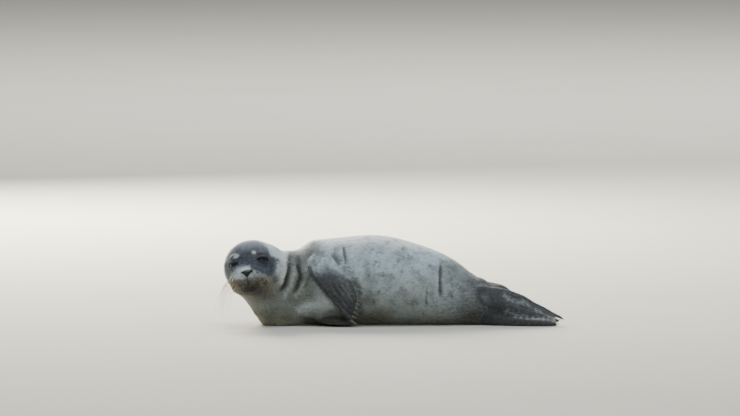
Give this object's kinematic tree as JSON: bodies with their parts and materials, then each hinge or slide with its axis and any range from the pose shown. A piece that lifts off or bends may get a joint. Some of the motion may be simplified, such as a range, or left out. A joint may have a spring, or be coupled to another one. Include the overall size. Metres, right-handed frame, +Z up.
{
  "type": "harbour seal",
  "caption": "Young harbour seal resting on its belly, head raised and turned to its left, flippers at its sides and behind.",
  "frame": {"origin": "on the floor, under the middle of the seal's bounding box", "axes": "+X from the head end towards the hind flippers, +Z up; the seal's left flank and its face look towards -Y"},
  "size_m": [0.9436, 0.3842, 0.2438],
  "materials": {
    "fur": "short dense coat, mottled grey",
    "dark_fur": "very short dark slate coat",
    "bare_skin": "bare, moist, finely grained",
    "eye": "wet, almost black",
    "claw": "horn, satin"
  },
  "bodies": {
    "root": {"head": "fur", "lower_jaw": "fur", "nose": "bare_skin", "neck": "fur", "trunk": "fur", "tail": "dark_fur", "fore_flipper_left": "dark_fur", "fore_flipper_right": "dark_fur", "hind_flipper_left": "dark_fur", "hind_flipper_right": "dark_fur", "eye_left": "eye", "eye_right": "eye", "fore_claw_left_1": "claw", "fore_claw_left_2": "claw", "fore_claw_left_3": "claw", "fore_claw_left_4": "claw", "fore_claw_left_5": "claw", "fore_claw_right_1": "claw", "fore_claw_right_2": "claw", "fore_claw_right_3": "claw", "fore_claw_right_4": "claw", "fore_claw_right_5": "claw", "hind_claw_left_1": "claw", "hind_claw_left_2": "claw", "hind_claw_left_3": "claw", "hind_claw_left_4": "claw", "hind_claw_left_5": "claw", "hind_claw_right_1": "claw", "hind_claw_right_2": "claw", "hind_claw_right_3": "claw", "hind_claw_right_4": "claw", "hind_claw_right_5": "claw"}
  },
  "joints": []
}
